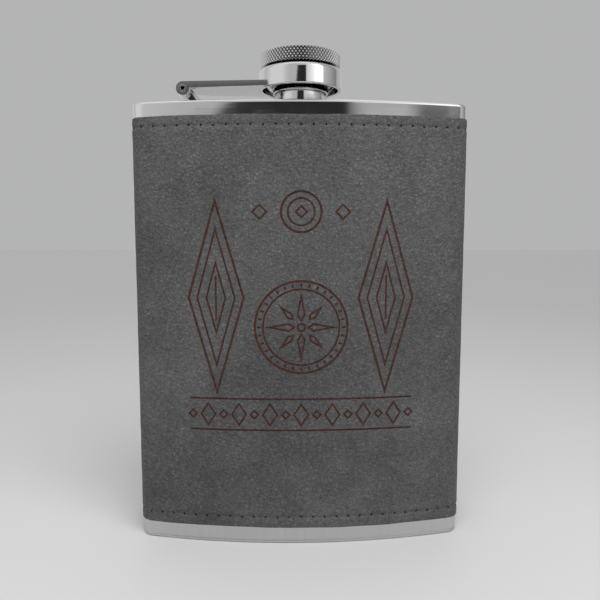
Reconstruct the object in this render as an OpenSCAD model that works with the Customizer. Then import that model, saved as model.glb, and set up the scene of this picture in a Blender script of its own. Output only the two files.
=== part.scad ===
// Leather-wrapped hip flask with a captive screw cap on a hinged arm.
// Frame: origin at the middle of the base, +Z up, the convex engraved side faces -Y.

/* [Body] */
// Overall width across the leather
overall_w = 92.5; // [88:0.5:102]
// Height of the body from the base to the top plate
body_h = 122; // [110:1:135]
// Thickness from the convex front to the concave back, both over the leather
body_t = 22; // [20:0.5:25]
// Radius of the convex front, over the leather
front_r = 178; // [150:2:220]
// Radius of the two front corners, over the leather
corner_front_r = 4.5; // [4.5:0.5:7]
// Radius of the two back corners, over the leather
corner_back_r = 7; // [5:0.5:8]
// Thickness of the body's steel sheet
sheet_t = 0.6; // [0.5:0.1:0.8]

/* [Pans] */
// Thickness of the steel of the top and base pans' skirts
skirt_t = 0.5; // [0.4:0.1:0.6]
// Height of the top pan's skirt, which shows above the leather
top_skirt_h = 4; // [3:0.5:6]
// Height of the base pan's skirt, which shows below the leather
base_skirt_h = 4.5; // [3:0.5:6]
// Rounding of the base pan's rim
base_round = 1; // [0.6:0.1:1.2]
// Width of the flat ring that the flask stands on
stand_ring_w = 2.6; // [2:0.2:2.6]
// Depth of the pressed panel inside the standing ring
panel_depth = 0.8; // [0.4:0.1:1.2]

/* [Leather] */
// Thickness of the leather wrap
leather_t = 0.8; // [0.7:0.1:1]
// Distance of the upper stitch row from the leather's upper edge
upper_inset = 2.6; // [2:0.1:4]
// Distance of the lower stitch row from the leather's lower edge
lower_inset = 3.2; // [2:0.1:4]
// Distance from one stitch to the next
stitch_pitch = 3.35; // [2.9:0.05:4]
// Length of one stitch
stitch_len = 2.3; // [1.8:0.1:2.5]
// Diameter of the thread
thread_d = 0.35; // [0.3:0.05:0.4]
// Width of the butt seam at the middle of the back
seam_gap = 0.3; // [0.2:0.1:0.5]

/* [Neck and thread] */
// Outer radius of the neck
neck_r = 6.75; // [6.5:0.05:6.8]
// Inner radius of the neck's bore
bore_r = 5.9; // [5.5:0.1:6]
// Height of the neck's mouth above the top plate
neck_h = 5.1; // [5:0.05:5.3]
// Pitch of the screw thread
pitch = 1.5; // [1.4:0.1:1.6]
// Height that the cap rises before it comes off the neck
cap_lift = 2; // [1.8:0.1:2.4]

/* [Cap] */
// Outer radius of the knurled knob
knob_r = 10.9; // [10:0.1:11.2]
// Outer radius of the cup at the end of the arm
cup_r = 11.4; // [11:0.1:12]
// Height of the cup's open rim above the top plate
cup_low = 3.85; // [3.6:0.05:4]
// Radius of the cup's rounded shoulder
cup_round = 1.2; // [0.8:0.1:1.4]
// Outer radius of the inner cap that screws on the neck
cap_r = 7.65; // [7.6:0.05:7.9]
// Height of the inner cap's rim above the top plate
cap_low = 3.05; // [2.9:0.05:3.2]
// Height of the knob's knurled band
knurl_h = 3.15; // [2.6:0.05:3.5]

/* [Arm and hinge] */
// Distance of the hinge axis from the neck's axis
hinge_x = 31.8; // [29:0.2:34]
// Height of the hinge axis above the top plate
hinge_h = 3.75; // [3.5:0.05:3.9]
// Radius of the hinge knuckles
knuckle_r = 1.85; // [1.8:0.05:2]
// Outer radius of the hollow hinge pin
pin_r = 0.8; // [0.7:0.05:0.9]
// Half width of the arm at the hinge
arm_half_hinge = 4.8; // [4.5:0.1:5.2]
// Half width of the arm at the cup
arm_half_cup = 7; // [6:0.1:8]

/* [Hidden] */
$fn = 96;

steel = [0.78, 0.78, 0.80];
bright = [0.88, 0.88, 0.90];
leather_grey = [0.33, 0.33, 0.34];
thread_grey = [0.26, 0.26, 0.27];
seal_white = [0.92, 0.92, 0.90];

eps = 0.01;

// Section of the steel body, as arcs about one centre for the front and the back
half_w = overall_w / 2 - leather_t;
out_r = front_r - leather_t;
in_r = out_r - (body_t - 2 * leather_t);
fr = corner_front_r - leather_t;
br = corner_back_r - leather_t;
fcx = half_w - fr;
bcx = half_w - br;
front_reach = sqrt(pow(out_r - fr, 2) - pow(fcx, 2));
back_reach = sqrt(pow(in_r + br, 2) - pow(bcx, 2));
// This centre puts the bounding box's middle at y = 0
arc_y = (out_r + back_reach - br) / 2;
fcy = arc_y - front_reach;
bcy = arc_y - back_reach;
front_a = asin(fcx / (out_r - fr));
back_a = asin(bcx / (in_r + br));
// The neck stands in the middle of the body's thickness
neck_y = arc_y - (out_r + in_r) / 2;

front_steps = 20;
back_steps = 18;
corner_steps = 7;
round_steps = 3;

function arc(cx, cy, r, a0, a1, n) =
    [for (i = [0:n]) let (a = a0 + (a1 - a0) * i / n) [cx + r * cos(a), cy + r * sin(a)]];

// The section's outline, moved outwards by grow
function outline(grow) = concat(
    arc(0, arc_y, out_r + grow, 270 - front_a, 270 + front_a, front_steps),
    arc(fcx, fcy, fr + grow, 270 + front_a + 90 / corner_steps / 2, 360, corner_steps),
    arc(bcx, bcy, br + grow, 0, 90 + back_a - 90 / corner_steps / 2, corner_steps),
    arc(0, arc_y, in_r - grow, 270 + back_a, 270 - back_a, back_steps),
    arc(-bcx, bcy, br + grow, 90 - back_a + 90 / corner_steps / 2, 180, corner_steps),
    arc(-fcx, fcy, fr + grow, 180, 270 - front_a - 90 / corner_steps / 2, corner_steps)
);

// Lengths of the right half of the outline, over the leather
thread_off = leather_t;
front_len = (out_r + thread_off) * front_a * PI / 180;
fcorner_len = (fr + thread_off) * (90 - front_a) * PI / 180;
side_len = bcy - fcy;
bcorner_len = (br + thread_off) * (90 + back_a) * PI / 180;
back_len = (in_r - thread_off) * back_a * PI / 180;
half_len = front_len + fcorner_len + side_len + bcorner_len + back_len;
stitch_count = 2 * round(half_len / stitch_pitch);

// Place and heading of the point a length s along the right half, from the front's middle,
// on the outline moved outwards by off
function on_front(a, off) =
    [(out_r + off) * sin(a), arc_y - (out_r + off) * cos(a), a];
function on_front_corner(a, off) =
    [fcx + (fr + off) * sin(a), fcy - (fr + off) * cos(a), a];
function on_back_corner(a, off) =
    [bcx + (br + off) * cos(a), bcy + (br + off) * sin(a), 90 + a];
function on_back(a, off) =
    [(in_r - off) * sin(a), arc_y - (in_r - off) * cos(a), 180 + a];
function along(s, off) =
    s < front_len ? on_front(s / front_len * front_a, off) :
    s < front_len + fcorner_len ?
        on_front_corner(front_a + (s - front_len) / fcorner_len * (90 - front_a), off) :
    s < front_len + fcorner_len + side_len ?
        [half_w + off, fcy + s - front_len - fcorner_len, 90] :
    s < half_len - back_len ?
        on_back_corner((s - half_len + back_len + bcorner_len) / bcorner_len * (90 + back_a), off) :
        on_back((half_len - s) / back_len * back_a, off);

// A closed solid through rings of the outline; each entry is [grow, z]
module loft(rings) {
    n = len(outline(0));
    m = len(rings);
    pts = [for (r = rings) for (p = outline(r[0])) [p[0], p[1], r[1]]];
    sides = [for (k = [0:m - 2]) for (i = [0:n - 1]) let (j = (i + 1) % n)
        [k * n + i, (k + 1) * n + i, (k + 1) * n + j, k * n + j]];
    polyhedron(
        points = pts,
        faces = concat([[for (i = [0:n - 1]) i]], sides, [[for (i = [n - 1:-1:0]) (m - 1) * n + i]]),
        convexity = 6
    );
}

module band(outer, inner, z0, z1) {
    translate([0, 0, z0]) linear_extrude(z1 - z0) difference() {
        polygon(outline(outer));
        polygon(outline(inner));
    }
}

// Helical ridge of a right-hand thread: root and crest radii, root and crest half widths
module ridge(root_r, crest_r, z0, turns) {
    steps = round(turns * 30);
    root_half = 0.35;
    crest_half = 0.16;
    corners = [[root_r, -root_half], [crest_r, -crest_half], [crest_r, crest_half], [root_r, root_half]];
    pts = [for (i = [0:steps]) let (a = 360 * turns * i / steps) for (c = corners)
        [c[0] * cos(a), c[0] * sin(a), z0 + pitch * a / 360 + c[1]]];
    sides = [for (i = [0:steps - 1]) for (k = [0:3]) let (l = (k + 1) % 4)
        [4 * i + k, 4 * i + l, 4 * i + 4 + l, 4 * i + 4 + k]];
    flip = crest_r > root_r ? 1 : -1;
    shell = concat([[3, 2, 1, 0]], sides, [[for (k = [0:3]) 4 * steps + k]]);
    polyhedron(
        points = pts,
        faces = flip > 0 ? shell : [for (f = shell) [for (k = [len(f) - 1:-1:0]) f[k]]],
        convexity = 8
    );
}

module at_neck(h) {
    translate([0, neck_y, body_h + h]) children();
}

module at_hinge() {
    translate([-hinge_x, neck_y, body_h + hinge_h]) rotate([90, 0, 0]) children();
}

// ---- The bottle ----

plate_t = 0.6;

// Rolled and seam-welded sheet, open at both ends
module body_shell() {
    color(steel) band(0, -sheet_t, plate_t, body_h - plate_t);
}

// Drawn pan over the shell's top end, with the neck's hole
module top_pan() {
    color(bright) {
        band(skirt_t, 0, body_h - top_skirt_h, body_h - plate_t);
        difference() {
            translate([0, 0, body_h - plate_t]) linear_extrude(plate_t) polygon(outline(skirt_t));
            at_neck(-2) cylinder(r = neck_r, h = 4);
        }
    }
}

panel_slope = 0.8;
base_rings = concat(
    [[-stand_ring_w - panel_slope, panel_depth], [-stand_ring_w, 0]],
    [for (i = [0:round_steps]) let (a = 90 * i / round_steps)
        [skirt_t - base_round * (1 - sin(a)), base_round * (1 - cos(a))]],
    [[skirt_t, base_skirt_h], [0, base_skirt_h], [0, plate_t],
     [plate_t / 2 - stand_ring_w, plate_t], [plate_t / 2 - stand_ring_w - panel_slope, panel_depth + plate_t]]
);

// Drawn pan over the shell's bottom end: a standing ring round a raised panel
module base_pan() {
    color(steel) loft(base_rings);
}

flange_t = 0.6;
flange_r = 8.3;
thread_low = 3.4;
thread_turns = 0.85;
thread_crest = 0.3;
thread_sink = 0.15;

// Spout welded through the top pan from below, with its thread near the mouth
module neck() {
    color(bright) {
        difference() {
            union() {
                at_neck(-plate_t - flange_t) cylinder(r = neck_r, h = neck_h + plate_t + flange_t);
                at_neck(-plate_t - flange_t) cylinder(r = flange_r, h = flange_t);
                at_neck(0) ridge(neck_r - thread_sink, neck_r + thread_crest, thread_low, thread_turns);
            }
            at_neck(-plate_t - flange_t - 1) cylinder(r = bore_r, h = neck_h + 4);
        }
    }
}

// ---- The wrap and its stitches ----

wrap_low = base_skirt_h;
wrap_high = body_h - top_skirt_h;
groove_depth = 0.45;
groove_half = 0.3;
row_low = wrap_low + lower_inset;
row_high = wrap_high - upper_inset;
back_y = arc_y - in_r;

module groove(z) {
    band(leather_t + 1, leather_t - groove_depth, z - groove_half, z + groove_half);
}

seam_pitch = 4.2;
seam_stitch_len = 4.4;
seam_count = floor((row_high - row_low) / seam_pitch) - 1;
seam_low = (row_low + row_high - (seam_count - 1) * seam_pitch) / 2;
// Depth of the curved back behind a straight stitch's middle
seam_bow = pow(seam_stitch_len / 2, 2) / (2 * in_r);

// One leather strip round the body, butted at the middle of the back
module leather_wrap() {
    color(leather_grey) difference() {
        band(leather_t, 0, wrap_low, wrap_high);
        groove(row_low);
        groove(row_high);
        translate([-seam_gap / 2, back_y - 1, wrap_low - 1])
            cube([seam_gap, leather_t + 2, wrap_high - wrap_low + 2]);
        for (i = [0:seam_count - 1])
            translate([-seam_stitch_len / 2 - 0.2, back_y + leather_t - groove_depth,
                seam_low + i * seam_pitch - groove_half])
                cube([seam_stitch_len + 0.4, 1, 2 * groove_half]);
    }
}

// Clearance that keeps a straight stitch out of the curved groove's floor
corner_bow = pow(stitch_len / 2, 2) / (2 * (fr + leather_t));

module stitch_row(z) {
    for (side = [-1, 1]) for (i = [0:stitch_count / 2 - 1]) {
        s = (i + 0.5) * 2 * half_len / stitch_count;
        straight = s < front_len - stitch_len || s > half_len - back_len + stitch_len;
        p = along(s, leather_t - groove_depth + thread_d / 2 + (straight ? 0.02 : corner_bow));
        translate([side * p[0], p[1], z]) rotate([0, 0, side * p[2]]) rotate([0, 90, 0])
            cylinder(d = thread_d, h = stitch_len, center = true, $fn = 16);
    }
}

// Thread of the row under the top pan, one solid for each stitch
module top_stitching() {
    color(thread_grey) stitch_row(row_high);
}

// Thread of the row over the base pan, one solid for each stitch
module bottom_stitching() {
    color(thread_grey) stitch_row(row_low);
}

// Cross stitches that hold the butted edges together on the back
module seam_stitching() {
    color(thread_grey) for (i = [0:seam_count - 1])
        translate([0, back_y + leather_t - groove_depth + thread_d / 2 + seam_bow + 0.02,
            seam_low + i * seam_pitch])
            rotate([0, 90, 0]) cylinder(d = thread_d, h = seam_stitch_len, center = true, $fn = 16);
}

// ---- The hinge ----

bracket_half = 2;
ear_gap = 0.1;
leg_a = 42;
leg_t = 2.3;
foot_t = 0.8;
foot_half = 3.2;
foot_x0 = -hinge_x + 1.2;
foot_x1 = -hinge_x + 10;
pin_wall = 0.35;

// Line along the leg's centre and the line across it, in the hinge's own plane
leg_dir = [cos(leg_a), -sin(leg_a)];
leg_side = [sin(leg_a), cos(leg_a)] * leg_t / 2;
upper_run = (hinge_h + leg_side[1]) / sin(leg_a);
lower_run = (hinge_h - leg_side[1]) / sin(leg_a);

// Middle knuckle on a folded leg, with its foot welded to the top pan
module hinge_bracket() {
    color(bright) difference() {
        union() {
            at_hinge() cylinder(r = knuckle_r, h = 2 * bracket_half, center = true);
            at_hinge() translate([0, 0, -bracket_half]) linear_extrude(2 * bracket_half)
                polygon([-leg_side, leg_side, leg_side + upper_run * leg_dir,
                    lower_run * leg_dir - leg_side]);
            translate([foot_x0, neck_y - foot_half, body_h])
                cube([foot_x1 - foot_x0, 2 * foot_half, foot_t]);
        }
        at_hinge() cylinder(r = pin_r, h = 30, center = true);
    }
}

// Hollow pin, pressed into the bracket and loose in the arm's ears
module hinge_pin() {
    color(bright) at_hinge() difference() {
        cylinder(r = pin_r, h = 2 * arm_half_hinge, center = true);
        cylinder(r = pin_r - pin_wall, h = 30, center = true);
    }
}

// ---- The arm ----

pin_play = 0.05;
arm_top = hinge_h + knuckle_r;
arm_t_hinge = 1.85;
arm_t_cup = 1.45;
slot_reach = knuckle_r + 0.35;

// Strap with two ears round the pin; it ends against the cup's wall
module swing_arm() {
    color(bright) difference() {
        union() {
            at_hinge() cylinder(r = knuckle_r, h = 2 * arm_half_hinge, center = true);
            intersection() {
                translate([0, neck_y + 20, body_h]) rotate([90, 0, 0]) linear_extrude(40)
                    polygon([[-hinge_x, arm_top], [-hinge_x, arm_top - arm_t_hinge],
                        [0, arm_top - arm_t_cup], [0, arm_top]]);
                translate([0, neck_y, body_h]) linear_extrude(20)
                    polygon([[-hinge_x, -arm_half_hinge], [-cup_r + 2, -arm_half_cup],
                        [-cup_r + 2, arm_half_cup], [-hinge_x, arm_half_hinge]]);
            }
        }
        at_neck(0) cylinder(r = cup_r, h = 20);
        at_hinge() cylinder(r = pin_r + pin_play, h = 30, center = true);
        translate([-hinge_x - 5, neck_y - bracket_half - ear_gap, body_h])
            cube([5 + slot_reach, 2 * (bracket_half + ear_gap), 10]);
    }
}

// ---- The captive cap ----

cup_wall = 1;
cup_roof = 0.9;
stem_r = 2;
stem_play = 0.08;
lid_t = 0.6;
liner_t = 0.76;
face_gap = 0.02;
lift_spare = 0.05;

// Heights above the top plate, from the neck's mouth upwards
liner_low = neck_h + face_gap;
lid_low = liner_low + liner_t + face_gap;
lid_high = lid_low + lid_t;
cup_high = lid_high + cap_lift + lift_spare + cup_roof;
knob_low = cup_high + 0.2;
knurl_low = knob_low + 0.42;
knurl_high = knurl_low + knurl_h;
knob_high = knurl_high + 0.4;

// Drawn cup, open below, that keeps the cap on the arm
module cap_cup() {
    color(bright) at_neck(0) rotate_extrude() difference() {
        union() {
            translate([0, cup_low]) square([cup_r, cup_high - cup_low - cup_round]);
            translate([0, cup_low]) square([cup_r - cup_round, cup_high - cup_low]);
            translate([cup_r - cup_round, cup_high - cup_round]) intersection() {
                circle(r = cup_round);
                square(cup_round);
            }
        }
        translate([-1, cup_low - 1]) square([cup_r - cup_wall + 1, cup_high - cup_roof - cup_low + 1]);
        translate([-1, 0]) square([stem_r + stem_play + 1, 20]);
    }
}

knob_edge = 0.6;
stem_depth = 2.2;

// Turned disc with a knurled rim, pressed on the rivet
module knurled_knob() {
    color(steel) at_neck(0) rotate_extrude() difference() {
        polygon([[0, knob_low], [knob_r - knob_edge, knob_low], [knob_r, knurl_low],
            [knob_r, knurl_high], [knob_r - knob_edge, knob_high], [0, knob_high]]);
        translate([-1, knob_low - 1]) square([stem_r + 1, stem_depth + 1]);
    }
}

cap_bore_r = neck_r + thread_crest + 0.1;
cap_crest = cap_bore_r - 0.32;
head_r = 2.9;

// Rivet from under the inner cap's lid, through the cup's roof, into the knob
module cap_rivet() {
    color(steel) at_neck(0) rotate_extrude()
        polygon([[0, lid_low], [head_r, lid_low], [stem_r, lid_high],
            [stem_r, knob_low + stem_depth], [0, knob_low + stem_depth]]);
}

// Inner cap with a rounded rim; its thread sits half a pitch from the neck's
module inner_cap() {
    rim = 0.35;
    color(bright) difference() {
        union() {
            at_neck(0) rotate_extrude() difference() {
                union() {
                    translate([0, cap_low + rim]) square([cap_r, lid_high - cap_low - rim]);
                    translate([0, cap_low]) square([cap_r - rim, rim]);
                    translate([cap_r - rim, cap_low + rim]) circle(r = rim, $fn = 32);
                }
                translate([-1, cap_low - 1]) square([cap_bore_r + 1, lid_low - cap_low + 1]);
            }
            at_neck(0) ridge(cap_bore_r + thread_sink, cap_crest, thread_low + pitch / 2, thread_turns);
        }
        at_neck(0) rotate_extrude()
            polygon([[0, lid_low - eps], [head_r, lid_low], [stem_r, lid_high], [stem_r, 20], [0, 20]]);
    }
}

liner_r = cap_crest - 0.05;

// Loose soft disc that seals on the neck's mouth
module seal_liner() {
    color(seal_white) at_neck(liner_low) cylinder(r = liner_r, h = liner_t);
}

body_shell();
top_pan();
base_pan();
neck();
leather_wrap();
top_stitching();
bottom_stitching();
seam_stitching();
hinge_bracket();
hinge_pin();
swing_arm();
cap_cup();
knurled_knob();
cap_rivet();
inner_cap();
seal_liner();
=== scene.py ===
# %% [markdown]
# # A leather-wrapped hip flask
# The flask is a thin steel bottle with a captive screw cap on a hinged arm, wrapped in one strip of grey
# leather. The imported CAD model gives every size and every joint. This lesson gives each piece its real
# surface: numpy works out the shape as whole arrays, and small node trees give it its finish.

# %% Load the frame
import math

import bmesh
import bpy
import numpy as np
from mathutils import Matrix, Vector


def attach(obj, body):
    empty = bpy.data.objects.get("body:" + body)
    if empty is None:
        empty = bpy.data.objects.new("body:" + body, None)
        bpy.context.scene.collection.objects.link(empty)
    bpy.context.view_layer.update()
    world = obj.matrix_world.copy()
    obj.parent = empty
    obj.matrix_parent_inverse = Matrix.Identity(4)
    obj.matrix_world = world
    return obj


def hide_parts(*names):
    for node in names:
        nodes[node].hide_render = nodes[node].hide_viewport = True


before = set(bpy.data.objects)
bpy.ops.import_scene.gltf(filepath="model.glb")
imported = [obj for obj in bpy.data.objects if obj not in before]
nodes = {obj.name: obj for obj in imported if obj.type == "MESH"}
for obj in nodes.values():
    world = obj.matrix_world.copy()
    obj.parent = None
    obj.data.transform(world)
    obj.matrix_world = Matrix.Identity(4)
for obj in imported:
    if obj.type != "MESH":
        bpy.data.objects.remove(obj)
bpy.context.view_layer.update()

MM = 0.001
print("nodes", sorted(nodes))

# %% [markdown]
# ## Sizes
# The CAD model was driven by a short list of sizes. The new surfaces follow the same list, in millimetres,
# so each one lies where its CAD solid lies. The body's outline is a ring of arcs: a convex front and a
# concave back about one centre, joined by two corners on each side.

# %% Sizes of the body, in millimetres
BODY_H = 122.0
HALF_W = 45.45
OUT_R = 177.2
IN_R = 156.8
FRONT_CORNER_R = 3.7
BACK_CORNER_R = 6.2
LEATHER_T = 0.8
SKIRT_T = 0.5
PLATE_T = 0.6
WRAP_LOW = 4.5
WRAP_HIGH = BODY_H - 4.0

FRONT_CX = HALF_W - FRONT_CORNER_R
BACK_CX = HALF_W - BACK_CORNER_R
front_reach = math.sqrt((OUT_R - FRONT_CORNER_R) ** 2 - FRONT_CX**2)
back_reach = math.sqrt((IN_R + BACK_CORNER_R) ** 2 - BACK_CX**2)
ARC_Y = (OUT_R + back_reach - BACK_CORNER_R) / 2
FRONT_CY = ARC_Y - front_reach
BACK_CY = ARC_Y - back_reach
FRONT_A = math.asin(FRONT_CX / (OUT_R - FRONT_CORNER_R))
BACK_A = math.asin(BACK_CX / (IN_R + BACK_CORNER_R))
NECK_Y = ARC_Y - (OUT_R + IN_R) / 2
print("neck axis at y", round(NECK_Y, 3))

# %% [markdown]
# Everything that goes round the body is placed by its arc length from the middle of the front. On each arc
# the outward direction turns evenly, so the direction is a broken line in arc length, and a point is the
# arc's centre plus its radius along that direction.

# %% The outline by arc length
front_len = (OUT_R + LEATHER_T) * FRONT_A
front_corner_len = (FRONT_CORNER_R + LEATHER_T) * (math.pi / 2 - FRONT_A)
side_len = BACK_CY - FRONT_CY
back_corner_len = (BACK_CORNER_R + LEATHER_T) * (math.pi / 2 + BACK_A)
back_len = (IN_R - LEATHER_T) * BACK_A
REACH = np.cumsum([front_len, front_corner_len, side_len, back_corner_len, back_len])
HALF_LEN = REACH[-1]
HEADINGS = [0, FRONT_A, math.pi / 2, math.pi / 2, math.pi + BACK_A, math.pi]


def on_body(s, grow, z):
    """Point on the body's outline: s is the signed arc length from the middle of the front, measured over
    the leather, and grow moves the outline outwards. With heading a, x = cx + (r + grow) sin a and
    y = cy - (r + grow) cos a, about the centre (cx, cy) of the arc that s is on."""
    s, grow, z = np.broadcast_arrays(np.asarray(s, float), np.asarray(grow, float), np.asarray(z, float))
    d = np.minimum(np.abs(s), HALF_LEN)
    arc = np.minimum(np.searchsorted(REACH, d, side="right"), 4)
    heading = np.interp(d, np.concatenate([[0], REACH]), HEADINGS)
    cx = np.choose(arc, [0.0, FRONT_CX, HALF_W, BACK_CX, 0.0])
    cy = np.choose(arc, [ARC_Y, FRONT_CY, 0.0, BACK_CY, ARC_Y])
    cy = np.where(arc == 2, FRONT_CY + d - REACH[1], cy)
    r = np.choose(arc, [OUT_R, FRONT_CORNER_R, 0.0, BACK_CORNER_R, -IN_R])
    x = (cx + (r + grow) * np.sin(heading)) * np.where(s < 0, -1, 1)
    return np.stack([x, cy - (r + grow) * np.cos(heading), z], -1)


print("half of the way round, mm", round(HALF_LEN, 2))

# %% [markdown]
# ## Small helpers
# A few shape tools come back in every piece: an outline with rounded corners, the faces of a grid, a smooth
# random relief, and the step that turns arrays into a mesh on the right CAD body.

# %% Rounded outlines
HOLD = 0.03


def unit(v):
    """The same direction with length 1."""
    return v / np.linalg.norm(v, axis=-1, keepdims=True)


def rounded(corners, closed=True, steps=5):
    """Outline through corners (x, y, radius). Each arc's centre is on the corner's bisector, at
    radius / sin(half the angle), and a point just outside each arc keeps the flats flat when shaded."""
    corners = np.array(corners, float)
    count = len(corners)
    out = []
    for i, (x, y, radius) in enumerate(corners):
        p = np.array([x, y])
        if radius == 0 or (not closed and i in (0, count - 1)):
            out.append(p[None])
            continue
        before = unit(corners[i - 1, :2] - p)
        after = unit(corners[(i + 1) % count, :2] - p)
        half = np.arccos(np.clip(before @ after, -1, 1)) / 2
        run = radius / np.tan(half)
        centre = p + unit(before + after) * radius / np.sin(half)
        start, end = p + before * run - centre, p + after * run - centre
        a0, a1 = np.arctan2(start[1], start[0]), np.arctan2(end[1], end[0])
        turn = (a1 - a0 + np.pi) % (2 * np.pi) - np.pi
        a = a0 + turn * np.linspace(0, 1, steps + 1)
        arc = centre + radius * np.stack([np.cos(a), np.sin(a)], -1)
        out += [(p + before * (run + HOLD))[None], arc, (p + after * (run + HOLD))[None]]
    return np.concatenate(out)


def smooth_step(x, low, high):
    """0 below low and 1 above high, eased between them by 3t^2 - 2t^3."""
    t = np.clip((x - low) / (high - low), 0, 1)
    return t * t * (3 - 2 * t)


def hump(x, width):
    """A bell of height 1 about zero: exp(-(x / width)^2)."""
    return np.exp(-((x / width) ** 2))


def soft_noise(u, v, step, seed):
    """Smooth random relief from -1 to 1: random heights on a lattice of that step, eased between points."""
    table = np.random.default_rng(seed).uniform(-1, 1, (256, 256))
    i, j = np.floor(u / step).astype(int), np.floor(v / step).astype(int)
    a, b = smooth_step(u / step - i, 0, 1), smooth_step(v / step - j, 0, 1)
    near = (1 - a) * table[i % 256, j % 256] + a * table[(i + 1) % 256, j % 256]
    far = (1 - a) * table[i % 256, (j + 1) % 256] + a * table[(i + 1) % 256, (j + 1) % 256]
    return (1 - b) * near + b * far


# %% [markdown]
# Most pieces here are a grid of points with a face between each four. A grid could be built from one of
# Blender's own shapes and then bent, but worked out as an array it has its final form at once. Booleans and
# bevels finish a few pieces, and the last helper hands each piece over to its CAD body.

# %% Grids and meshes
def grid_faces(rows, columns, close_rows=False, close_columns=False, first=0):
    """Four-cornered faces of a grid of points stored row by row; a closed side joins its last line to its
    first."""
    i = np.arange(rows if close_rows else rows - 1)[:, None]
    j = np.arange(columns if close_columns else columns - 1)[None]
    k, m = (i + 1) % rows, (j + 1) % columns
    quads = np.stack([i * columns + j, i * columns + m, k * columns + m, k * columns + j], -1)
    return (quads.reshape(-1, 4) + first).tolist()


def make_object(name, points, faces, sharp=35):
    """A mesh object in millimetres with its faces turned outwards, shaded smooth up to the sharp angle."""
    mesh = bpy.data.meshes.new(name)
    mesh.from_pydata(np.asarray(points).reshape(-1, 3).tolist(), [], faces)
    work = bmesh.new()
    work.from_mesh(mesh)
    bmesh.ops.recalc_face_normals(work, faces=work.faces[:])
    work.to_mesh(mesh)
    work.free()
    mesh.shade_smooth()
    mesh.set_sharp_from_angle(angle=math.radians(sharp))
    piece = bpy.data.objects.new(name, mesh)
    bpy.context.scene.collection.objects.link(piece)
    return piece


def applied(piece, sharp=35):
    """The piece with its modifiers made part of its mesh."""
    graph = bpy.context.evaluated_depsgraph_get()
    mesh = bpy.data.meshes.new_from_object(piece.evaluated_get(graph))
    piece.modifiers.clear()
    piece.data = mesh
    mesh.shade_smooth()
    mesh.set_sharp_from_angle(angle=math.radians(sharp))
    return piece


# %% [markdown]
# A boolean joins two closed meshes or cuts one out of the other, and a bevel rounds the edges that are left.
# Both are applied at once, because the next step works on their result.

# %% Cutting, rounding and handing over
def combine(piece, other, operation="DIFFERENCE", solver="EXACT"):
    """Joins another closed mesh to the piece or cuts it out, and removes the other."""
    step = piece.modifiers.new("combine", "BOOLEAN")
    step.operation, step.solver, step.object = operation, solver, other
    applied(piece)
    bpy.data.objects.remove(other)
    return piece


def bevelled(piece, width, segments=3, angle=40):
    """The piece with every edge sharper than the angle rounded off."""
    step = piece.modifiers.new("edges", "BEVEL")
    step.width, step.segments, step.limit_method = width, segments, "ANGLE"
    step.angle_limit = math.radians(angle)
    return applied(piece)


def hand_over(piece, body, slot, *replaced):
    """Brings a finished piece from millimetres to metres, ties it to its CAD body and hides the CAD nodes
    that it replaces. The slot is not used.
    """
    piece.data.transform(Matrix.Scale(MM, 4))
    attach(piece, body)
    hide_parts(*replaced)
    count = sum(len(p.vertices) - 2 for p in piece.data.polygons)
    low, high = np.array(piece.bound_box)[[0, 6]] / MM
    print(piece.name, count, "triangles, mm", low.round(2).tolist(), high.round(2).tolist())
    return piece


# %% [markdown]
# Most of the metal parts are turned on a lathe or drawn in a round die: a profile goes round the neck's
# axis. A Screw modifier could do it, but the thread and the knurl have to move each point, so the points
# are worked out here. A profile that starts and ends on the axis closes at two poles, and any other profile
# is a loop, so both give a closed skin.

# %% Turned parts
def turned(name, profile, count, relief=None, sharp=35):
    """Profile points (r, h) at angle a go to (r cos a, neck_y + r sin a, body_h + h). A relief function of
    (a, r, h) adds to the radius, which is how threads and knurls are cut."""
    profile = np.asarray(profile, float)
    poles = profile[0, 0] == 0
    line = profile[1:-1] if poles else profile
    a = np.arange(count) * 2 * np.pi / count
    r, h = np.broadcast_arrays(line[:, :1], np.zeros(count))[0].copy(), line[:, 1:] + 0 * a
    if relief is not None:
        r += relief(a[None] + 0 * r, r, h)
    points = np.stack([r * np.cos(a), NECK_Y + r * np.sin(a), BODY_H + h], -1).reshape(-1, 3)
    faces = grid_faces(len(line), count, close_rows=not poles, close_columns=True)
    if poles:
        ends = [[0, NECK_Y, BODY_H + h0] for h0 in (profile[0, 1], profile[-1, 1])]
        points = np.concatenate([points, ends])
        ring = np.arange(count)
        last = ring + (len(line) - 1) * count
        pole = np.full(count, len(points) - 2)
        faces += np.stack([pole, np.roll(ring, -1), ring], -1).tolist()
        faces += np.stack([pole + 1, last, np.roll(last, -1)], -1).tolist()
    return make_object(name, points, faces, sharp)


def thread_ridge(a, h, start, turns, pitch=1.5, half_root=0.35, half_crest=0.16):
    """Height, from 0 to 1, of a helical ridge: the distance from the ridge's own height at that angle falls
    from 1 at the crest to 0 at the root, and both ends of the ridge fade out."""
    along = a / (2 * np.pi)
    off = np.abs(h - start - pitch * along)
    side = 1 - smooth_step(off, half_crest, half_root)
    return side * smooth_step(along, 0, 0.06) * (1 - smooth_step(along, turns - 0.06, turns))


# %% [markdown]
# ## Finishes
# A finish is worked out from the place on the piece, so it needs no picture. The small class below lets the
# shader's sums be written as plain arithmetic.

# %% Arithmetic on shader sockets
class Value:
    """A number, colour or vector that varies over a surface; arithmetic on a number adds Math nodes."""

    def __init__(self, paint, socket):
        self.paint, self.socket = paint, socket

    def math(self, operation, *values):
        """One Math node on these values."""
        return self.paint.add("Math", {"operation": operation}, dict(enumerate(values)))

    def __add__(self, other):
        return self.math("ADD", self, other)

    def __sub__(self, other):
        return self.math("SUBTRACT", self, other)

    def __rsub__(self, other):
        return self.math("SUBTRACT", other, self)

    def __mul__(self, other):
        return self.math("MULTIPLY", self, other)

    __radd__, __rmul__ = __add__, __mul__


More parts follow.
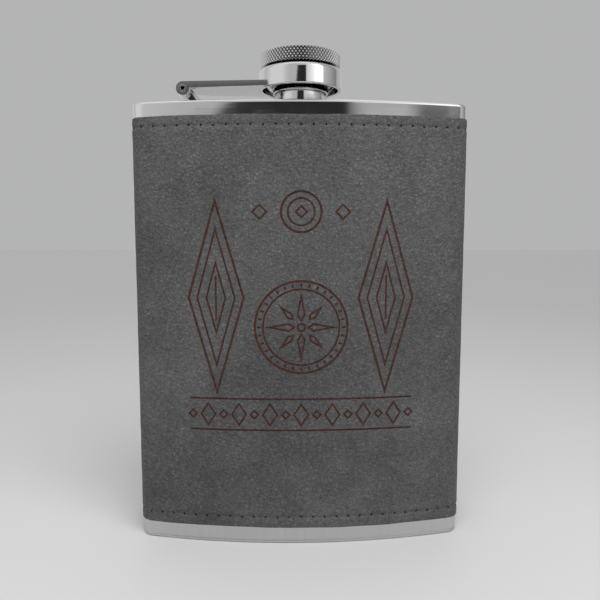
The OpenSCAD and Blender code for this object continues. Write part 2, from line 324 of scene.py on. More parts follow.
# %% [markdown]
# Everything that isn't plain arithmetic is a node, and one method adds any of them. The methods after it are
# short names for the nodes that come back in most finishes.

# %% Adding nodes
class Paint:
    """A node tree that is filled by add()."""

    def __init__(self, tree):
        self.tree = tree
        tree.nodes.clear()

    def add(self, kind, settings=None, inputs=None, output=0):
        """Adds a node of that type, sets its settings and then its sockets. Returns the output with that
        number, or None for a node without outputs."""
        node = self.tree.nodes.new("ShaderNode" + kind)
        for key, value in (settings or {}).items():
            if key == "stops":
                ramp = node.color_ramp.elements
                while len(ramp) < len(value):
                    ramp.new(0.5)
                for element, (place, shade) in zip(ramp, value):
                    element.position, element.color = place, (*shade, 1)
            else:
                setattr(node, key, value)
        for key, value in (inputs or {}).items():
            if isinstance(value, Value):
                self.tree.links.new(value.socket, node.inputs[key])
            else:
                node.inputs[key].default_value = value
        return Value(self, node.outputs[output]) if node.outputs else None

    def parts(self, vector):
        """The three numbers of a vector."""
        split = self.add("SeparateXYZ", None, {0: vector}).socket.node
        return [Value(self, socket) for socket in split.outputs]

    def mix(self, factor, first, second):
        """Colour between first and second."""
        return self.add("Mix", {"data_type": "RGBA"}, {0: factor, 6: first, 7: second}, 2)

    def ease(self, value, low, high, start=0.0, end=1.0):
        """Start below low, end above high, eased between them."""
        settings = {"interpolation_type": "SMOOTHSTEP"}
        return self.add("MapRange", settings, {0: value, 1: low, 2: high, 3: start, 4: end})

    def noise(self, place, scale, detail=2.0, roughness=0.5):
        """Cloudy pattern from 0 to 1; a scale of 1000 makes clouds about a millimetre across."""
        sockets = {"Vector": place, "Scale": scale, "Detail": detail, "Roughness": roughness}
        return self.add("TexNoise", None, sockets)

    def stretched(self, place, scales, detail, roughness):
        """Noise with its own scale along each axis, so its clouds are streaks."""
        along = self.add("Mapping", None, {0: place, 3: scales})
        return self.noise(along, 1.0, detail, roughness)

    def bump(self, height, distance, strength=1.0):
        """Normal of a relief; the distance is its depth in metres."""
        return self.add("Bump", None, {"Height": height, "Distance": distance, "Strength": strength})


def new_finish(name):
    """A material with an empty tree, and its place in object coordinates, in metres."""
    material = bpy.data.materials.new(name)
    material.use_nodes = True
    paint = Paint(material.node_tree)
    return material, paint, paint.add("TexCoord", output="Object")


def shade(paint, **sockets):
    """Ends the tree in one Principled shader with these sockets."""
    sockets = {key.replace("_", " "): value for key, value in sockets.items()}
    paint.add("OutputMaterial", None, {"Surface": paint.add("BsdfPrincipled", None, sockets)})


# %% [markdown]
# The wrap is a grey, matt leather. It has a pebbled grain about half a millimetre across, creases that run
# between the pebbles, short streaks, and cloudy patches where the dye took more or less. The grain is a cell
# pattern bent by noise: its height falls towards the cell borders. A picture could give the same grain, but
# it would have to be wrapped round the corners, and a solid pattern needs no wrapping.

# %% Leather
def grey_leather():
    """Tone and height are sums of the grain, crease, streak and cloud patterns, each about its mean."""
    material, paint, place = new_finish("grey_leather")
    bend = paint.add("TexNoise", None, {"Vector": place, "Scale": 900.0, "Detail": 2.0}, 1)
    bent = paint.add("Mix", {"data_type": "VECTOR"}, {0: 0.0009, 4: place, 5: bend}, 1)
    cells = {"feature": "DISTANCE_TO_EDGE"}
    pebble = paint.add("TexVoronoi", cells, {"Vector": bent, "Scale": 2100.0})
    fold = paint.add("TexVoronoi", cells, {"Vector": bent, "Scale": 1000.0})
    grain = paint.ease(pebble, 0.0, 0.40)
    crease = paint.ease(fold, 0.0, 0.45)
    cloud = paint.noise(place, 95.0, 4.0, 0.6)
    patch = paint.noise(place, 26.0, 3.0, 0.55)
    speck = paint.noise(place, 2600.0, 2.0, 0.6)
    streak = paint.stretched(bent, (950.0, 950.0, 1500.0), 3.0, 0.6)
    tone = 0.535 + 0.50 * (cloud - 0.5) + 0.75 * (patch - 0.5) + 1.10 * (streak - 0.5)
    tone = tone + 0.24 * (grain - 0.6) + 0.28 * (crease - 0.8) + 0.44 * (speck - 0.5)
    stops = [(0.0, (0.040, 0.040, 0.0415)), (0.5, (0.092, 0.092, 0.094)), (1.0, (0.165, 0.165, 0.168))]
    colour = paint.add("ValToRGB", {"stops": stops}, {0: tone})
    rough = 0.60 - 0.10 * grain + 0.12 * (cloud - 0.5)
    height = grain * 0.4 + crease * 0.6 + speck * 0.35 + cloud * 0.5 + streak * 1.1
    normal = paint.bump(height, 0.00020, 0.8)
    shade(paint, Base_Color=colour, Roughness=rough, Normal=normal, Specular_IOR_Level=0.42)
    return material


# %% [markdown]
# The drawn lines are burnt into the leather. The punched holes are painted near black as painted shade for
# their deep, narrow walls. Both are rough and blotchy and much darker than the face, so one function serves
# them both with its own colours.

# %% Burnt lines and raw holes
def dark_finish(name, low, high, scale, depth):
    """Rough, dark, blotchy surface, as a burnt groove or the painted shade in a punched hole."""
    material, paint, place = new_finish(name)
    blotch = paint.noise(place, scale, 3.0, 0.7)
    colour = paint.mix(paint.ease(blotch, 0.3, 0.7), (*low, 1), (*high, 1))
    normal = paint.bump(blotch, depth)
    shade(paint, Base_Color=colour, Roughness=paint.ease(blotch, 0.2, 0.8, 0.75, 0.95), Normal=normal)
    return material


leather = grey_leather()
burnt = dark_finish("burnt_groove", (0.024, 0.007, 0.004), (0.095, 0.030, 0.017), 1500.0, 0.00006)
# The near-black colour is painted shade in the deep, narrow stitch holes and the pin's bore.
painted_hole_shade = dark_finish("painted_hole_shade", (0.006, 0.006, 0.006), (0.016, 0.016, 0.017), 2500.0, 0.00004)


# %% [markdown]
# The thread is waxed and nearly the leather's own grey. Two plies could be modelled as two twisted tubes,
# but at this size a relief in the finish looks the same. The thread's own map runs along each stitch in
# millimetres, so that the plies can follow it.

# %% Thread
def waxed_thread():
    """Two plies are the ridges of sin 2 pi (1.4 along + 2 about), so they wind round as they go along; the
    grooves between them are painted darker as painted shade.
    """
    material, paint, _ = new_finish("waxed_thread")
    own = paint.add("UVMap", {"uv_map": "stitch"})
    along, about, _ = paint.parts(own)
    ply = paint.add("Math", {"operation": "SINE"}, {0: (along * 1.4 + about * 2) * (2 * math.pi)})
    fuzz = paint.noise(own, 9.0, 3.0, 0.7)
    ridge = ply * 0.5 + 0.5
    # The colour follows the ply ridges: painted shade darkens the grooves between the plies.
    colour = paint.mix(ridge * 0.7 + fuzz * 0.3, (0.045, 0.045, 0.047, 1), (0.125, 0.125, 0.128, 1))
    normal = paint.bump(ridge + fuzz * 0.4, 0.00006)
    shade(paint, Base_Color=colour, Roughness=paint.ease(fuzz, 0.3, 0.7, 0.42, 0.62), Normal=normal)
    return material


thread = waxed_thread()


# %% [markdown]
# The bright parts are close to a mirror, with faint hairlines and hand marks. These could be drawn as
# scratches, but on a small part they only show as a change of roughness. The base and the stem are brushed
# in one direction, which is a noise pattern stretched along the body.

# %% Polished and satin steel
def polished_steel():
    """Marks and hairlines change the roughness; a slow wave bends the reflections a little."""
    material, paint, place = new_finish("polished_skin")
    marks = paint.noise(place, 60.0, 3.0, 0.6)
    hair = paint.stretched(place, (120.0, 120.0, 2600.0), 2.0, 0.5)
    tone = paint.mix(marks, (0.70, 0.70, 0.705, 1), (0.80, 0.80, 0.80, 1))
    rough = paint.ease(marks, 0.35, 0.75, 0.055, 0.13) + 0.05 * paint.ease(hair, 0.62, 0.72)
    wave = paint.noise(place, 22.0, 1.0, 0.4)
    normal = paint.bump(wave + hair * 0.004, 0.0006, 0.35)
    shade(paint, Base_Color=tone, Metallic=1.0, Roughness=rough, Normal=normal)
    return material


def satin_steel():
    """Brush lines run up the body: the pattern is 25 times longer that way."""
    material, paint, place = new_finish("satin_skin")
    brush = paint.stretched(place, (1500.0, 1500.0, 60.0), 3.0, 0.6)
    marks = paint.noise(place, 45.0, 3.0, 0.6)
    tone = paint.mix(brush * 0.5 + marks * 0.5, (0.50, 0.50, 0.505, 1), (0.66, 0.66, 0.66, 1))
    rough = paint.ease(marks, 0.3, 0.7, 0.30, 0.40) + 0.10 * (brush - 0.5)
    normal = paint.bump(brush, 0.00003, 0.5)
    shade(paint, Base_Color=tone, Metallic=1.0, Roughness=rough, Normal=normal)
    return material


# %% [markdown]
# The knob's relief is real, and its valleys are darkened in colour as painted shade. The arm is stamped, and
# the sheared edge that the punch leaves is rougher than the faces, since no one polishes it, and painted
# darker as painted shade.

# %% Knurled steel and sheared edges
def knurled_steel():
    """Painted shade: dark where a point of the knurled band is nearer the axis than the pyramids' tips. The
    flat top, out to 10 mm, has fine turned rings."""
    material, paint, place = new_finish("knurled_skin")
    x, y, z = paint.parts(paint.add("Mapping", None, {0: place, 1: (0.0, -NECK_Y * MM, 0.0)}))
    radius = paint.add("Math", {"operation": "SQRT"}, {0: x * x + y * y})
    in_knurl = paint.ease(z, 0.13197, 0.13212)
    # Painted shade: the knurl's valleys are darkened in colour.
    valley_shade = 1 - in_knurl * (1 - paint.ease(radius, 0.01052, 0.01080))
    turned_rings = paint.add("Math", {"operation": "SINE"}, {0: radius * 42000.0})
    marks = paint.noise(place, 300.0, 3.0, 0.6)
    tone = paint.mix(valley_shade, (0.06, 0.06, 0.062, 1), (0.72, 0.72, 0.725, 1))
    flat = 1 - paint.ease(radius, 0.0098, 0.0101)
    tone = paint.mix(flat, tone, (0.66, 0.66, 0.665, 1))
    rough = paint.ease(marks, 0.3, 0.7, 0.16, 0.26)
    normal = paint.bump(turned_rings * flat, 0.000004, 0.6)
    shade(paint, Base_Color=tone, Metallic=1.0, Roughness=rough, Normal=normal)
    return material


def sheared_shaded_steel():
    """The cut edge of a stamped part: fine lines across it, rougher than the polished faces and painted
    darker as painted shade.
    """
    material, paint, place = new_finish("sheared_shaded_skin")
    line = paint.stretched(place, (3800.0, 3800.0, 500.0), 3.0, 0.6)
    # The low tone is painted shade on the strap's sheared edges, not a colour of the steel.
    tone = paint.mix(line, (0.20, 0.20, 0.202, 1), (0.30, 0.30, 0.30, 1))
    rough = paint.ease(line, 0.3, 0.7, 0.34, 0.46)
    normal = paint.bump(line, 0.00002, 0.5)
    shade(paint, Base_Color=tone, Metallic=1.0, Roughness=rough, Normal=normal)
    return material


# %% [markdown]
# The seal is a soft white plastic. It only needs a faint haze, so that it doesn't look like a flat colour.

# %% Seal, and all the finishes
def soft_seal():
    """Off-white, with a faint haze."""
    material, paint, place = new_finish("soft_seal")
    haze = paint.noise(place, 180.0, 3.0, 0.6)
    colour = paint.mix(haze, (0.62, 0.61, 0.57, 1), (0.80, 0.79, 0.75, 1))
    shade(paint, Base_Color=colour, Roughness=paint.ease(haze, 0.3, 0.7, 0.38, 0.52))
    return material


mirror, satin, knurl = polished_steel(), satin_steel(), knurled_steel()
seal, shaded_edge_skin = soft_seal(), sheared_shaded_steel()
print("finishes", [m.name for m in bpy.data.materials])

# %% [markdown]
# ## The leather wrap
# One strip goes round the body and is butted at the middle of the back. A flat sheet could be wrapped by a
# simulation, but the leather lies tight on the steel, so its place is known. It is a grid: arc length one
# way, and the other way a loop up the outside, over the upper edge, down the inside and under the lower
# edge. Shallow wrinkles, the valley that each row of stitches pulls in, and a slightly wavy cut edge are
# all moves of the grid.

# %% The strip
ROW_LOW = WRAP_LOW + 3.2
ROW_HIGH = WRAP_HIGH - 2.6
SEAM_GAP = 0.08
STITCHES = 2 * round(HALF_LEN / 3.35)
PITCH = 2 * HALF_LEN / STITCHES
EDGE_R = 0.22
INNER = LEATHER_T - 0.05


def strip_relief(s, z):
    """Outward move of the leather's face, in millimetres, from its wrinkles, stitch valleys and puckers."""
    relief = 0.035 * soft_noise(s, z, 4.2, 1) + 0.022 * soft_noise(s, z, 1.9, 2)
    relief += 0.012 * soft_noise(s, z, 0.9, 3)
    to_hole = s - PITCH * np.round(s / PITCH)
    for row, pull in ((ROW_LOW, 0.13), (ROW_HIGH, 0.12)):
        relief -= pull * hump(z - row, 0.42)
        relief -= 0.10 * hump(to_hole, 0.5) * hump(z - row, 0.6)
        relief += 0.05 * hump(z - row - 1.3, 0.7) + 0.05 * hump(z - row + 1.3, 0.7)
    relief -= 0.30 * hump(np.abs(s) - HALF_LEN, 0.45)
    return relief - 0.04


def edge_wave(s, seed):
    """How far the cut edge wanders up or down at arc length s: long swells and short nicks."""
    still = np.zeros_like(s)
    swell = 0.12 * soft_noise(s, still, 17.0, seed) + 0.06 * soft_noise(s, still, 5.0, seed + 1)
    return swell + 0.025 * soft_noise(s, still, 1.6, seed + 2)


# %% [markdown]
# The grid has more lines near the stitch rows and the edges, where the shape changes fast, and fewer on the
# plain face, where only the slow wrinkles have to be carried.

# %% The strip's grid
def leather_strip():
    """Grid of arc length s by a loop of (z, depth): up the face, over, down the inside and under. A point is
    on the body at grow = thickness - depth + relief, and the relief fades out towards the inside."""
    end = HALF_LEN - SEAM_GAP / 2
    edge = np.array([0, 0.08, 0.2, 0.42])
    s = np.concatenate([-end + edge, np.linspace(-end + 0.8, end - 0.8, 376), end - edge[::-1]])
    near = np.array([-1.7, -1.25, -0.9, -0.65, -0.45, -0.3, -0.15, 0, 0.15, 0.3, 0.45, 0.65, 0.9, 1.25, 1.7])
    face = np.concatenate([
        [WRAP_LOW + EDGE_R, WRAP_LOW + 0.7, WRAP_LOW + 1.1], ROW_LOW + near,
        np.linspace(ROW_LOW + 2.3, ROW_HIGH - 2.3, 138), ROW_HIGH + near,
        [WRAP_HIGH - 0.5, WRAP_HIGH - EDGE_R],
    ])
    t = np.radians([22.5, 45, 67.5, 90])
    depth = np.concatenate([0 * face, EDGE_R * (1 - np.cos(t)), [INNER] * 5, EDGE_R * (1 - np.cos(t[::-1]))])
    over = WRAP_HIGH - EDGE_R + EDGE_R * np.sin(t)
    under = WRAP_LOW + EDGE_R - EDGE_R * np.sin(t[::-1])
    inside = [WRAP_HIGH - 0.02, WRAP_HIGH - 2, BODY_H / 2, WRAP_LOW + 2, WRAP_LOW + 0.02]
    z = np.concatenate([face, over, inside, under])
    s, z0, depth = s[None], z[:, None], depth[:, None]
    grow = LEATHER_T - depth + strip_relief(s, z0) * np.clip(1 - depth / INNER, 0, 1)
    low = (edge_wave(s, 20) + 0.12) * hump(z0 - WRAP_LOW, 1.6)
    high = (edge_wave(s, 30) + 0.02) * hump(z0 - WRAP_HIGH, 1.2)
    points = on_body(s, grow, z0 + low + high)
    rows, columns = points.shape[:2]
    faces = grid_faces(rows, columns, close_rows=True)
    first = np.arange(rows) * columns
    faces += [first[::-1].tolist(), (first + columns - 1).tolist()]
    return make_object("leather_sleeve", points, faces)


sleeve = leather_strip()
for material in (leather, burnt, painted_hole_shade):
    sleeve.data.materials.append(material)
print("sleeve faces", len(sleeve.data.polygons))

# %% [markdown]
# ## The burnt ornament and the stitch holes
# The front carries a fine burnt line drawing: a generic rosette, lozenges and a frieze of diamonds, all
# plain geometry. A line is a bar that follows the front, cut out of the leather to a shallow depth. The
# lines never touch, so one closed cutter holds them all. The stitch holes are short tapered plugs in the
# same cutter.

# %% Lines of the ornament
LINE_W = 0.62
FINE_W = 0.50
LINE_DEPTH = 0.20


def divided(points, closed, step=2.0):
    """The same line with no piece longer than the step."""
    ends = np.roll(points, -1, 0) if closed else points[1:]
    starts = points if closed else points[:-1]
    runs = []
    for a, b in zip(starts, ends):
        t = np.arange(max(1, math.ceil(np.linalg.norm(b - a) / step)))
        runs.append(a + (b - a) * (t / len(t))[:, None])
    return np.concatenate(runs if closed else runs + [points[-1:]])


def cutter_bar(points, width, closed):
    """Four-sided bar along a line of (s, z) points: each cross section stands across the line, half the
    width to each side and longer at the corners, from the groove's floor to above the leather."""
    p = divided(np.array(points, float), closed)
    before = np.roll(p, 1, 0) if closed else np.concatenate([2 * p[:1] - p[1:2], p[:-1]])
    after = np.roll(p, -1, 0) if closed else np.concatenate([p[1:], 2 * p[-1:] - p[-2:-1]])
    side0, side1 = unit(p - before)[:, ::-1] * [-1, 1], unit(after - p)[:, ::-1] * [-1, 1]
    middle = unit(side0 + side1)
    reach = middle * (width / 2 / np.sum(middle * side0, -1))[:, None]
    left, right = p + reach, p - reach
    top, floor = LEATHER_T + 0.5, LEATHER_T - LINE_DEPTH
    corners = [(left, top), (left, floor), (right, floor), (right, top)]
    bar = np.stack([on_body(q[:, 0], grow, q[:, 1]) for q, grow in corners], 1)
    faces = grid_faces(len(p), 4, close_rows=closed, close_columns=True)
    if not closed:
        faces += [[3, 2, 1, 0], [4 * len(p) - 4 + k for k in range(4)]]
    return bar.reshape(-1, 3), faces


# %% [markdown]
# The drawing itself is a list of lines in arc length and height. It is symmetrical about the middle, and
# a few shapes that are turned, mirrored or repeated give all of it.

# %% The drawing
def ring(x, z, radius, count=56):
    """Closed circle of points (s, z)."""
    a = np.arange(count) * 2 * np.pi / count
    return np.stack([x + radius * np.cos(a), z + radius * np.sin(a)], -1)


def lozenge(x, z, half_w, half_h):
    """Closed diamond from its middle and its half sizes."""
    return [(x - half_w, z), (x, z - half_h), (x + half_w, z), (x, z + half_h)]


ROSETTE_Z = 61.5
CREST_Z = 92.6
FRIEZE_Z = 37.2


def ornament():
    """Every line as (points, width, closed)."""
    lines = []
    x0, z0 = 0.0, ROSETTE_Z
    lines += [(ring(x0, z0, 12.6), LINE_W, True), (ring(x0, z0, 10.4), FINE_W, True)]
    lines += [(ring(x0, z0, 1.0, 20), FINE_W, True)]
    for k in range(32):
        a = math.radians(11.25 * k)
        u = np.array([math.cos(a), math.sin(a)])
        lines.append(([u * 11.0 + (x0, z0), u * 12.0 + (x0, z0)], FINE_W, False))
    for k in range(8):
        a = math.radians(45 * k)
        u, v = np.array([math.cos(a), math.sin(a)]), np.array([-math.sin(a), math.cos(a)])
        tip, waist, foot = (8.6, 3.4, 1.9) if k % 2 == 0 else (7.6, 4.4, 3.2)
        half = 0.95 if k % 2 == 0 else 0.75
        kite = [u * foot, u * waist + v * half, u * tip, u * waist - v * half]
        lines.append((np.array(kite) + (x0, z0), FINE_W, True))
    lines += [(ring(0, CREST_Z, 5.4, 44), LINE_W, True), (ring(0, CREST_Z, 3.6, 36), FINE_W, True)]
    lines += [(lozenge(0, CREST_Z, 1.5, 1.5), FINE_W, True)]
    for side in (-1, 1):
        x = side * 23.2
        lines += [(lozenge(x, 69.5, 7.6, 26.0), LINE_W, True), (lozenge(x, 69.5, 5.2, 18.5), FINE_W, True)]
        lines += [(lozenge(x, 69.5, 2.6, 9.5), FINE_W, True)]
        lines += [(lozenge(side * 11.2, CREST_Z, 1.9, 1.9), FINE_W, True)]
        lines.append(([(x, 63.5), (x, 75.5)], FINE_W, False))
    for k in range(-7, 8):
        x, big = k * 4.3, k % 2 == 0
        lines.append((lozenge(x, FRIEZE_Z, 2.0 if big else 1.1, 3.0 if big else 1.1), FINE_W, True))
    for z in (FRIEZE_Z + 4.4, FRIEZE_Z - 4.4):
        lines.append(([(-31, z), (31, z)], FINE_W, False))
    return lines


print("lines in the drawing", len(ornament()))


# %% [markdown]
# The holes are punched with an awl, so they are a little wider at the face, and their walls are painted near
# black as painted shade.
# All of them join the lines in one cutter, and a single boolean cuts the strip, which is quicker and leaves
# a cleaner mesh than hundreds of small cuts.

# %% Stitch holes and the cut
HOLE_R = 0.31
SEAM_HALF = 2.2
SEAM_PITCH = 4.2
seam_count = math.floor((ROW_HIGH - ROW_LOW) / SEAM_PITCH) - 1
seam_z = (ROW_LOW + ROW_HIGH) / 2 + SEAM_PITCH * (np.arange(seam_count) - (seam_count - 1) / 2)


def hole_plugs(s, z, sides=10):
    """Tapered plugs at points (s, z), wider at the leather's face than at their floor."""
    a = np.arange(sides) * 2 * np.pi / sides
    r = np.array([1.45, 1.0, 0.75])[:, None] * HOLE_R
    grow = np.array([LEATHER_T + 0.3, LEATHER_T - 0.12, 0.12])[:, None]
    rings = on_body(s[:, None, None] + r * np.cos(a), grow + 0 * a, z[:, None, None] + r * np.sin(a))
    count = len(s)
    faces = []
    for k in range(count):
        first = 3 * sides * k
        faces += grid_faces(3, sides, close_columns=True, first=first)
        top = [first + i for i in reversed(range(sides))]
        faces += [top, [first + 2 * sides + i for i in range(sides)]]
    return rings.reshape(-1, 3), faces


def cut_leather():
    """Cuts all lines and holes at once. Each cutter face carries its finish's number to the face it cuts."""
    points, faces, kinds, used = [], [], [], 0
    for line in ornament():
        p, f = cutter_bar(*line)
        points.append(p)
        faces += [[i + used for i in face] for face in f]
        kinds += [1] * len(f)
        used += len(p)
    k = np.arange(-STITCHES // 2 + 1, STITCHES // 2)
    rng = np.random.default_rng(5)
    holes = [(k * PITCH, ROW_LOW + 0 * k), (k * PITCH, ROW_HIGH + 0 * k)]
    holes += [(side * (HALF_LEN - SEAM_HALF) + 0 * seam_z, seam_z) for side in (-1, 1)]
    s = np.concatenate([h[0] for h in holes])
    z = np.concatenate([h[1] for h in holes])
    s, z = s + rng.normal(0, 0.05, len(s)), z + rng.normal(0, 0.05, len(z))
    p, f = hole_plugs(s, z)
    points.append(p)
    faces += [[i + used for i in face] for face in f]
    kinds += [2] * len(f)
    cutter = make_object("cutter", np.concatenate(points), faces)
    for material in (leather, burnt, painted_hole_shade):
        cutter.data.materials.append(material)
    cutter.data.polygons.foreach_set("material_index", kinds)
    return combine(sleeve, cutter, solver="MANIFOLD")


cut_leather()
shares = np.zeros(len(sleeve.data.polygons), int)
sleeve.data.polygons.foreach_get("material_index", shares)
print("faces of leather, burnt line and hole", np.bincount(shares, minlength=3))
hand_over(sleeve, "root", "leather", "leather_wrap")

# %% [markdown]
# ## Stitches
# A row is one thread, but only the spans between holes show. Each span is a small tube that comes up out of
# one hole, crosses the valley and dives into the next. Curves with a round section could draw them, but as
# one array all the spans of a row are worked out at once, and each differs a little from the next.

# %% Spans of thread
THREAD_R = 0.15
ABOUT = np.arange(6) * np.pi / 3
HOLE_LIFT = 0.12
ROW_LIFT = 0.41
HOLE_INSET = 0.10


def thread_piece(name, points, run):
    """One object from tubes of points (stitch, along, about). Its own map holds the length run along each
    stitch, in millimetres, and the share of the way about it."""
    count, along, sides = run.shape
    faces = []
    for first in range(0, count * along * sides, along * sides):
        faces += grid_faces(along, sides, close_columns=True, first=first)
        last = first + (along - 1) * sides
        faces += [[first + i for i in reversed(range(sides))], [last + i for i in range(sides)]]
    piece = make_object(name, points.reshape(-1, 3), faces, sharp=80)
    about = np.broadcast_to(np.arange(sides) / sides, run.shape)
    corner = np.zeros(len(piece.data.loops), int)
    piece.data.loops.foreach_get("vertex_index", corner)
    own = piece.data.uv_layers.new(name="stitch")
    places = np.stack([run.ravel()[corner], about.ravel()[corner]], -1)
    own.data.foreach_set("uv", places.ravel().astype(np.float32))
    piece.data.materials.append(thread)
    return piece


def stitch_spans(name, start, end, z, seed):
    """Tubes from s = start to s = end, one for each pair: the line rises out of its hole to its lying height
    over the first and last sixth, sags a little sideways, and has a round section of six sides."""
    rng = np.random.default_rng(seed)
    t = np.array([0, 0.06, 0.14, 0.26, 0.42, 0.58, 0.74, 0.86, 0.94, 1.0])
    lift = HOLE_LIFT + ROW_LIFT * smooth_step(t, 0.0, 0.16) * (1 - smooth_step(t, 0.84, 1.0))
    slack = rng.normal(0, 0.05, (len(start), 1, 1)) * np.sin(np.pi * t)[None, :, None]
    lean = rng.normal(0, 0.035, (len(start), 1, 1)) * (1 - 2 * t)[None, :, None]
    size = THREAD_R * (1 + rng.normal(0, 0.05, (len(start), 1, 1)))
    s = (start[:, None] + (end - start)[:, None] * t)[:, :, None] + 0 * ABOUT
    grow = lift[None, :, None] + size * np.cos(ABOUT)
    height = z[:, None, None] + slack + lean + size * np.sin(ABOUT)
    return thread_piece(name, on_body(s, grow, height), s - s[:, :1])


k = np.arange(-STITCHES // 2, STITCHES // 2)
from_s, to_s = k * PITCH + HOLE_INSET, (k + 1) * PITCH - HOLE_INSET
upper = stitch_spans("upper_stitches", from_s, to_s, 0 * k + ROW_HIGH, 11)
hand_over(upper, "root", "thread", "top_stitching")
lower = stitch_spans("lower_stitches", from_s, to_s, 0 * k + ROW_LOW, 12)
hand_over(lower, "root", "thread", "bottom_stitching")

# %% [markdown]
# The seam's stitches cross the butted edges and draw them together, so each one goes from a hole on the left
# to a hole on the right. The arc length runs the other way round there, so a span is written from its
# distance to the seam.

# %% Cross stitches of the seam
def seam_spans():
    """Tubes straight across the seam at each height: x goes from -half to half, and the line lies just
    inside the leather's face between its two holes."""
    t = np.linspace(-1, 1, 11)
    lift = 0.10 + 0.64 * (1 - smooth_step(np.abs(t), 0.80, 1.0))
    rng = np.random.default_rng(21)
    tilt = rng.normal(0, 0.07, (seam_count, 1, 1)) * t[None, :, None]
    x = np.abs(t)[None, :, None] * (SEAM_HALF - 0.08) + 0 * ABOUT
    s = (HALF_LEN - x) * np.where(t < 0, -1, 1)[None, :, None]
    grow = lift[None, :, None] + THREAD_R * np.cos(ABOUT)
    z = seam_z[:, None, None] + tilt + THREAD_R * np.sin(ABOUT)
    points = on_body(s, grow, z)
    run = np.broadcast_to((t * SEAM_HALF)[None, :, None], points.shape[:3])
    return thread_piece("seam_stitches", points, run)


hand_over(seam_spans(), "root", "thread", "seam_stitching")

# %% [markdown]
# ## Top and base pans
# Each end of the bottle is a shallow pan, drawn from sheet steel and welded on. Its CAD solid could have its
# edges bevelled, but a section carried round the body gives even rounds, the groove in the base's skirt and
# clean reflections. The section is a rounded outline of (grow, z). The top pan's plate runs inwards to the
# neck: its points slide in straight lines from the outline to the neck's circle.

# %% Pans
COLUMNS = 320
STAND_IN = 3.0
around = np.linspace(-HALF_LEN, HALF_LEN, COLUMNS, endpoint=False)
NECK_R = 6.75


def to_neck(share, z):
    """Points on straight lines from the outline, 3 mm in, to the neck's circle, share of the way along."""
    rim = on_body(around, -STAND_IN, z)
    away = np.arctan2(rim[:, 1] - NECK_Y, rim[:, 0])
    hole = np.stack([NECK_R * np.cos(away), NECK_Y + NECK_R * np.sin(away), rim[:, 2]], -1)
    return rim + (hole - rim) * share


def top_pan():
    """Rings of points: the skirt's loop in (grow, z) round the body, then the plate in to the neck and back
    under itself."""
    low, high = WRAP_HIGH - 0.35, BODY_H
    outer = rounded([(-STAND_IN, high - PLATE_T, 0), (0.03, high - PLATE_T, 0), (0.03, low, 0),
                     (SKIRT_T, low, 0.15), (SKIRT_T, high, 0.85), (-STAND_IN, high, 0)],
                    closed=False, steps=8)
    rows = [on_body(around, grow, z) for grow, z in outer]
    rows += [to_neck(share, high) for share in (0.25, 0.5, 0.75, 0.92, 1.0)]
    rows += [to_neck(share, high - PLATE_T) for share in (1.0, 0.5)]
    points = np.stack(rows)
    return make_object("top_rim", points, grid_faces(*points.shape[:2], True, True))


def base_pan():
    """Rings in (grow, z): inside the skirt, over it, down the outside with its fine groove, round the
    standing ring and in to the pressed panel, whose middle is one flat face."""
    profile = rounded([(0.03, PLATE_T, 0), (0.03, WRAP_LOW + 0.3, 0), (SKIRT_T, WRAP_LOW + 0.3, 0.15),
                       (SKIRT_T, 0.98, 0.1), (0.28, 0.84, 0.05), (0.47, 0.70, 0.08), (0.47, 0, 0.5),
                       (-2.6, 0, 0.35), (-3.4, 0.8, 0)], closed=False, steps=6)
    inner = np.array([(-3.1, 1.4), (-2.3, PLATE_T)])
    rows = [on_body(around, grow, z) for grow, z in np.concatenate([inner, profile])]
    points = np.stack(rows)
    faces = grid_faces(*points.shape[:2], False, True)
    last = (len(rows) - 1) * COLUMNS
    faces += [list(range(COLUMNS))[::-1], [last + i for i in range(COLUMNS)]]
    return make_object("base_rim", points, faces)


top_rim = top_pan()
top_rim.data.materials.append(mirror)
hand_over(top_rim, "root", "polished_steel", "top_pan")
base_rim = base_pan()
base_rim.data.materials.append(satin)
hand_over(base_rim, "root", "satin_steel", "base_pan")

# %% [markdown]
# The rolled shell under the leather hardly shows, only down through the neck and at the seam. Its CAD solid
# has the right shape already, so it only gets the brushed finish.

# %% Shell
shell = nodes["body_shell"]
shell.data.materials.clear()
shell.data.materials.append(satin)
print("shell keeps its CAD mesh, finish", shell.data.materials[0].name)

# %% [markdown]
# ## Neck and cap
# The neck is a short tube with a bead of weld at its foot, a rounded mouth and just under one turn of rolled
# thread. The thread could be a helix joined on by a boolean. As a relief of the turned grid, it fades into
# the wall at both ends instead, as a rolled one does. The inner cap carries the mating thread, half a pitch
# away.

# %% Neck
BORE_R = 5.9
NECK_H = 5.1
THREAD_Z = 3.4


def neck_profile():
    """Loop (r, h): the weld bead, the outside with its dense stretch for the thread, the mouth, the bore."""
    wall = np.linspace(2.85, 4.82, 27)
    outside = rounded([(8.3, -1.2, 0.1), (8.3, -0.62, 0.1), (NECK_R, -0.62, 0), (NECK_R + 0.45, -0.62, 0),
                       (NECK_R + 0.45, 0.0, 0.0), (NECK_R, 0.42, 0.22), (NECK_R, 2.7, 0)], closed=False)
    mouth = rounded([(NECK_R, 4.85, 0), (NECK_R, NECK_H, 0.22), (BORE_R, NECK_H, 0.3), (BORE_R, 2, 0),
                     (BORE_R, -1.2, 0)], closed=False)
    return np.concatenate([outside[2:], np.stack([NECK_R + 0 * wall, wall], -1), mouth, [(8.2, -1.2)],
                           [(8.3, -1.1), (8.3, -0.7), (8.2, -0.62)]])


def outer_thread(a, r, h):
    """The ridge stands 0.3 mm out of the neck's wall."""
    return 0.3 * thread_ridge(a, h, THREAD_Z, 0.85) * (r > NECK_R - 0.01) * (h > 2.6)


neck = turned("threaded_neck", neck_profile(), 180, outer_thread)
neck.data.materials.append(mirror)
hand_over(neck, "root", "polished_steel", "neck")

